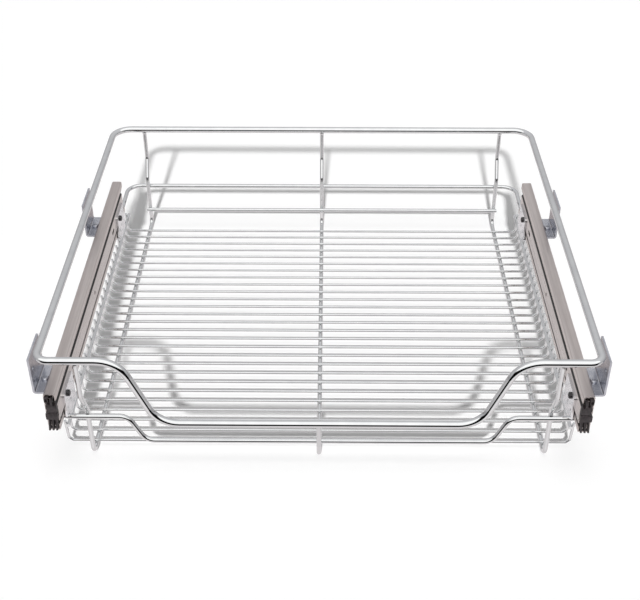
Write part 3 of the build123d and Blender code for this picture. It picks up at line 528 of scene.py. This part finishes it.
# ---- Slides --------------------------------------------------------------------------------------
@dataclass
class BallSlide:
    """One telescopic slide, on the left or the right."""

    side: str
    rolled: Material
    rubbed: Material
    cage: Material
    balls: Material
    plastic: Material
    rubber: Material
    cap_gap: float = 0.4 * MM  # from the cap to the member's end
    ribs: int = 3
    rib_first: float = 3.2  # the outermost rib's middle, in millimetres from the cabinet face
    rib_pitch: float = 3.6
    rib_width: float = 2.0
    rib_lean: float = 1.6  # how much further out the ribs end than they start
    rib_top: float = -6.6  # over the slide's middle
    rib_depth: float = 0.8  # of the cap's depth
    spine_inset: float = 0.55  # of the cap's depth, behind its face
    edge_radius: float = 0.25 * MM
    rib_edge_radius: float = 0.6 * MM

    def named(self, *parts: str) -> list[str]:
        """Names of this side's nodes."""
        return [f"{self.side}_{part}" for part in parts]

    def corner(self, t: float, v: float, y: float) -> Vector:
        """Turn a place in the slide's section into a point.

        Args:
            t: Distance from the slide's cabinet face, in millimetres.
            v: Height over the slide's middle, in millimetres.
            y: Place along the slide, in metres.

        Returns:
            The point.
        """
        low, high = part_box(f"{self.side}_cabinet_member")
        outer = high.x if self.side == "right" else low.x
        inwards = -1 if self.side == "right" else 1
        return Vector((outer + inwards * t * MM, y, (low.z + high.z) / 2 + v * MM))

    def outline(self, places: Outline, y: float) -> list[Vector]:
        """Turn an outline in the slide's section into points.

        Args:
            places: Distance from the cabinet face and height of each corner, in millimetres.
            y: Place along the slide, in metres.

        Returns:
            The points.
        """
        return [self.corner(t, v, y) for t, v in places]

    def moulding(self, bm: Mesh, front: list[Vector], depth: Vector, rounding: float) -> None:
        """Add a flat moulding whose front edges are rounded.

        Args:
            bm: Mesh that takes it.
            front: Corners of its front face.
            depth: From the front face to the back face.
            rounding: Radius of the front edges, in metres.
        """
        near = [bm.verts.new(point) for point in front]
        far = [bm.verts.new(point + depth) for point in front]
        face = bm.faces.new(near)
        bm.faces.new(list(reversed(far)))
        for k in range(len(near)):
            following = (k + 1) % len(near)
            bm.faces.new((near[k], far[k], far[following], near[following]))
        bmesh.ops.bevel(bm, geom=list(face.edges), offset=rounding, segments=3, profile=0.5, affect="EDGES")

    def build_cap(self) -> None:
        """Mould the drawer member's cap: a hollow square and a finger over two lobes and a skirt of ribs."""
        low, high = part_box(f"{self.side}_drawer_member_cap")
        member_low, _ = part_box(f"{self.side}_drawer_member")
        back = member_low.y - self.cap_gap
        depth = Vector((0, back - low.y, 0))
        bm = bmesh.new()
        for outline in (CAP_UPPER_LOBE, CAP_LOWER_LOBE, CAP_ARCH, CAP_STEM, CAP_FINGER):
            self.moulding(bm, self.outline(outline, low.y), depth, self.edge_radius)
        bottom = (low.z - self.corner(0, 0, 0).z) / MM
        for k in range(self.ribs):
            t = self.rib_first + self.rib_pitch * k
            foot = t - self.rib_lean
            half = self.rib_width / 2
            top = self.rib_top
            rib = [(t - half, top), (t + half, top), (foot + half, bottom + 0.3), (foot - half, bottom + 0.1)]
            self.moulding(bm, self.outline(rib, low.y), depth * self.rib_depth, self.rib_edge_radius)
        inset = depth * self.spine_inset
        self.moulding(bm, self.outline(CAP_SPINE, low.y + inset.y), depth - inset, 0.2 * MM)
        self.moulding(bm, self.outline(CAP_SPIGOT, back), Vector((0, high.y - back, 0)), 0.05 * MM)
        cap = mesh_piece(f"{self.side}_moulded_cap", bm, self.plastic, "basket")
        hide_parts(f"{self.side}_drawer_member_cap")

    def build_end_frame(self) -> None:
        """Mould the cabinet member's end piece: a strip with a foot, clear of what runs past."""
        low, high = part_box(f"{self.side}_cabinet_member_bumper")
        bm = bmesh.new()
        self.moulding(bm, self.outline(END_STRIP, low.y), Vector((0, high.y - low.y, 0)), 0.3 * MM)
        end = mesh_piece(f"{self.side}_moulded_end", bm, self.plastic, "cabinet_mounting")
        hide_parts(f"{self.side}_cabinet_member_bumper")

    def build(self) -> None:
        """Build the moulded pieces that show their shape."""
        self.build_cap()
        self.build_end_frame()

    def dress(self) -> None:
        """Give each piece of the slide its finish."""
        dress(self.named("cabinet_member", "middle_member"), self.rolled)
        dress(self.named("drawer_member"), self.rubbed)
        dress(self.named("outer_ball_cage", "inner_ball_cage"), self.cage)
        dress(self.named("outer_balls", "inner_balls"), self.balls)
        dress(self.named("drawer_member_cap", "middle_member_bumper"), self.plastic)
        dress(self.named("cabinet_member_bumper", "release_lever"), self.plastic)
        dress(self.named("rear_bumper"), self.rubber)


# ---- Brackets, tabs and fasteners ----------------------------------------------------------------
@dataclass
class Mountings:
    """The panel brackets, slide lugs and basket tabs, and what fastens them."""

    sheet: Material
    tab_sheet: Material
    fastener: Material
    black_screw: Material

    def dress(self) -> None:
        """Give each piece its finish."""
        ends = [f"{side}_{end}" for side in ("left", "right") for end in ("front", "rear")]
        dress([f"{end}_bracket" for end in ends] + [f"{end}_slide_lug" for end in ends], self.sheet)
        dress([f"{end}_basket_tab" for end in ends], self.tab_sheet)
        dress(["bracket_screws", "bracket_nuts", "lug_rivets"], self.fastener)
        dress(["basket_tab_screws"], self.black_screw)


# ---- Studio --------------------------------------------------------------------------------------
@dataclass
class Studio:
    """Pale sweep of floor, soft key lamp, and the light and dark bands that chrome shows."""

    floor_half: float = 6.0
    key_strength: float = 3.5
    key_angle: float = radians(3)
    key_elevation: float = radians(34)
    key_azimuth: float = radians(-2.5)  # round from the front: a little to the left
    top_strength: float = 0.45
    top_angle: float = radians(34)
    top_elevation: float = radians(86)
    fill: float = 0.21  # of the world's light on the object
    band_gain: float = 1.3  # of the bright band over the camera, as metal shows it
    bounced_paper: str = "#D9D7D8"  # the floor, to the light that it bounces
    paper_lift: float = 0.03  # glow that takes the floor to pure white
    back_from: float = -0.62  # how far forward the back's greys start to show
    back_fully: float = -0.45
    ceiling_reach: float = 0.75  # how much further back the front's bands reach overhead

    def build_floor(self) -> None:
        """Lay the floor, white to the camera and a little less so to the light that it bounces."""
        bm = bmesh.new()
        bmesh.ops.create_grid(bm, x_segments=8, y_segments=8, size=self.floor_half)
        mesh = bpy.data.meshes.new("studio_floor")
        bm.to_mesh(mesh)
        bm.free()
        floor = bpy.data.objects.new("studio_floor", mesh)
        bpy.context.scene.collection.objects.link(floor)
        made = bpy.data.materials.new("matt_white_paper")
        made.use_nodes = True
        tree = made.node_tree
        tree.nodes.clear()
        rays = add_node(tree, "ShaderNodeLightPath")
        seen = add_node(tree, "ShaderNodeMath", {"operation": "MAXIMUM"}, i0=rays.outputs["Is Camera Ray"])
        tree.links.new(rays.outputs["Is Transmission Ray"], seen.inputs[1])
        plain = add_node(tree, "ShaderNodeBsdfDiffuse", Color=linear(self.bounced_paper))
        white = add_node(tree, "ShaderNodeBsdfDiffuse", Color=WHITE)
        lift = add_node(tree, "ShaderNodeEmission", Color=WHITE, Strength=self.paper_lift)
        lifted = add_node(tree, "ShaderNodeAddShader", i0=white.outputs[0], i1=lift.outputs[0])
        mixed = add_node(
            tree, "ShaderNodeMixShader", Fac=seen.outputs[0], i1=plain.outputs[0], i2=lifted.outputs[0]
        )
        add_node(tree, "ShaderNodeOutputMaterial", Surface=mixed.outputs[0])
        mesh.materials.append(made)
        floor.visible_glossy = False  # metal shows the world's lower half instead, which is as pale

    def build_lamp(self, name: str, strength: float, angle: float, elevation: float, azimuth: float) -> None:
        """Hang a far lamp, which casts shadows and doesn't show in metal.

        Args:
            name: The lamp's name.
            strength: Its strength.
            angle: How wide it looks, which softens the shadows.
            elevation: Its height over the floor.
            azimuth: Its direction round from the front, towards the right.
        """
        lamp = bpy.data.lights.new(name, "SUN")
        lamp.energy = strength
        lamp.angle = angle
        hung = bpy.data.objects.new(name, lamp)
        bpy.context.scene.collection.objects.link(hung)
        level = cos(elevation)
        source = Vector((level * sin(azimuth), -level * cos(azimuth), sin(elevation)))
        hung.rotation_mode = "QUATERNION"
        hung.rotation_quaternion = source.to_track_quat("Z", "Y")
        hung.visible_glossy = False

    def reflected_front(self, tree: Tree, height: Socket) -> Socket:
        """What metal shows of the front: pale floor, the dark room round the camera, and a bright ceiling.

        Args:
            tree: The world's node tree.
            height: Sine of the elevation, from 0 for straight down to 1 for straight up.

        Returns:
            The colour.
        """
        ramp = add_node(tree, "ShaderNodeValToRGB", Fac=height)
        pale, dark = linear("#DEDBDC"), linear("#0C0B0C")
        ramp_stops(ramp, [(0.24, pale), (0.29, dark), (0.62, dark), (0.69, WHITE)])
        return ramp.outputs[0]

    def reflected_back(self, tree: Tree, height: Socket) -> Socket:
        """What metal shows of the sides and the back: pale floor under a grey backdrop.

        Args:
            tree: The world's node tree.
            height: Sine of the elevation, from 0 for straight down to 1 for straight up.

        Returns:
            The colour.
        """
        ramp = add_node(tree, "ShaderNodeValToRGB", Fac=height)
        stops = [(0.30, "#CFCBCC"), (0.47, "#9B9B9D"), (0.62, "#B2B2B4"), (0.9, "#C6C6C8")]
        ramp_stops(ramp, [(place, linear(colour)) for place, colour in stops])
        return ramp.outputs[0]

    def build_world(self) -> None:
        """Light all round, and for reflections a dark line at the front's horizon under a bright band."""
        world = bpy.data.worlds.new("studio_light")
        bpy.context.scene.world = world
        world.use_nodes = True
        tree = world.node_tree
        tree.nodes.clear()
        direction = add_node(tree, "ShaderNodeTexCoord")
        parts = add_node(tree, "ShaderNodeSeparateXYZ", i0=direction.outputs["Generated"])
        height = add_node(tree, "ShaderNodeMapRange", Value=parts.outputs["Z"])
        height.inputs["From Min"].default_value = -1.0
        over = add_node(tree, "ShaderNodeMath", {"operation": "MAXIMUM"}, i0=parts.outputs["Z"], i1=0.0)
        behind = add_node(
            tree,
            "ShaderNodeMath",
            {"operation": "MULTIPLY_ADD"},
            i0=over.outputs[0],
            i1=-self.ceiling_reach,
            i2=parts.outputs["Y"],
        )
        turned = add_node(tree, "ShaderNodeMapRange", SMOOTHSTEP, Value=behind.outputs[0])
        turned.inputs["From Min"].default_value = self.back_from
        turned.inputs["From Max"].default_value = self.back_fully
        bands = add_node(tree, "ShaderNodeMix", {"data_type": "RGBA"}, i0=turned.outputs[0])
        tree.links.new(self.reflected_front(tree, height.outputs[0]), bands.inputs[6])
        tree.links.new(self.reflected_back(tree, height.outputs[0]), bands.inputs[7])
        shown = add_node(tree, "ShaderNodeBackground", Color=bands.outputs[2], Strength=self.band_gain)
        light = add_node(tree, "ShaderNodeBackground", Color=WHITE, Strength=self.fill)
        white = add_node(tree, "ShaderNodeBackground", Color=WHITE, Strength=1.0)
        rays = add_node(tree, "ShaderNodeLightPath")
        mirrored = add_node(
            tree,
            "ShaderNodeMixShader",
            Fac=rays.outputs["Is Glossy Ray"],
            i1=light.outputs[0],
            i2=shown.outputs[0],
        )
        straight = add_node(
            tree, "ShaderNodeMath", {"operation": "MAXIMUM"}, i0=rays.outputs["Is Camera Ray"]
        )
        tree.links.new(rays.outputs["Is Transmission Ray"], straight.inputs[1])
        seen = add_node(
            tree, "ShaderNodeMixShader", Fac=straight.outputs[0], i1=mirrored.outputs[0], i2=white.outputs[0]
        )
        add_node(tree, "ShaderNodeOutputWorld", Surface=seen.outputs[0])

    def build(self) -> None:
        """Set up the studio."""
        self.build_floor()
        self.build_lamp("key_lamp", self.key_strength, self.key_angle, self.key_elevation, self.key_azimuth)
        self.build_lamp("top_lamp", self.top_strength, self.top_angle, self.top_elevation, 0.0)
        self.build_world()
        bpy.context.scene.view_settings.view_transform = "Standard"


@dataclass
class PhotoCamera:
    """Camera where the photograph was taken from, for an image of 640 by 600 pixels."""

    place: tuple[float, float, float] = (0.00725, -1.04125, 0.7977)
    pitch_down: float = radians(36)
    turn_left: float = 0.00755  # radians
    focal_px: float = 1081.0
    image_width_px: float = 640.0
    sensor_mm: float = 36.0

    def build(self) -> None:
        """Make it the scene's camera."""
        data = bpy.data.cameras.new("photo_camera")
        data.sensor_width = self.sensor_mm
        data.lens = self.focal_px / self.image_width_px * self.sensor_mm
        data.clip_start, data.clip_end = 0.01, 100.0
        camera = bpy.data.objects.new("photo_camera", data)
        bpy.context.scene.collection.objects.link(camera)
        camera.location = self.place
        camera.rotation_euler = (pi / 2 - self.pitch_down, 0.0, self.turn_left)
        bpy.context.scene.camera = camera


def main() -> None:
    """Build the camera, the object's looks and the studio, in that order."""
    logging.basicConfig(level=logging.INFO, format="%(message)s")
    PhotoCamera().build()
    rolled, rubbed, cage = ROLLED_ZINC.material(), RUBBED_ZINC.material(), TUMBLED_CAGE.material()
    balls, plastic, rubber = GROUND_BALLS.material(), BLACK_ACETAL.material(), BUMPER_RUBBER.material()
    low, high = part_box("left_drawer_member")
    # The drawer members' shoulders get painted shade: a dark band standing in for the shaded slot under the
    # lips
    PaintedSlotShade().spread(rubbed, (low.z + high.z) / 2)
    basket = WireBasket(CHROME_PLATE.material())
    basket.dress()
    basket.build()
    for side in ("left", "right"):
        slide = BallSlide(side, rolled, rubbed, cage, balls, plastic, rubber)
        slide.dress()
        slide.build()
    mountings = Mountings(
        PRESSED_ZINC.material(), BRIGHT_ZINC.material(), BARREL_ZINC.material(), BLACK_SCREW.material()
    )
    mountings.dress()
    Studio().build()


if __name__ == "__main__":
    main()
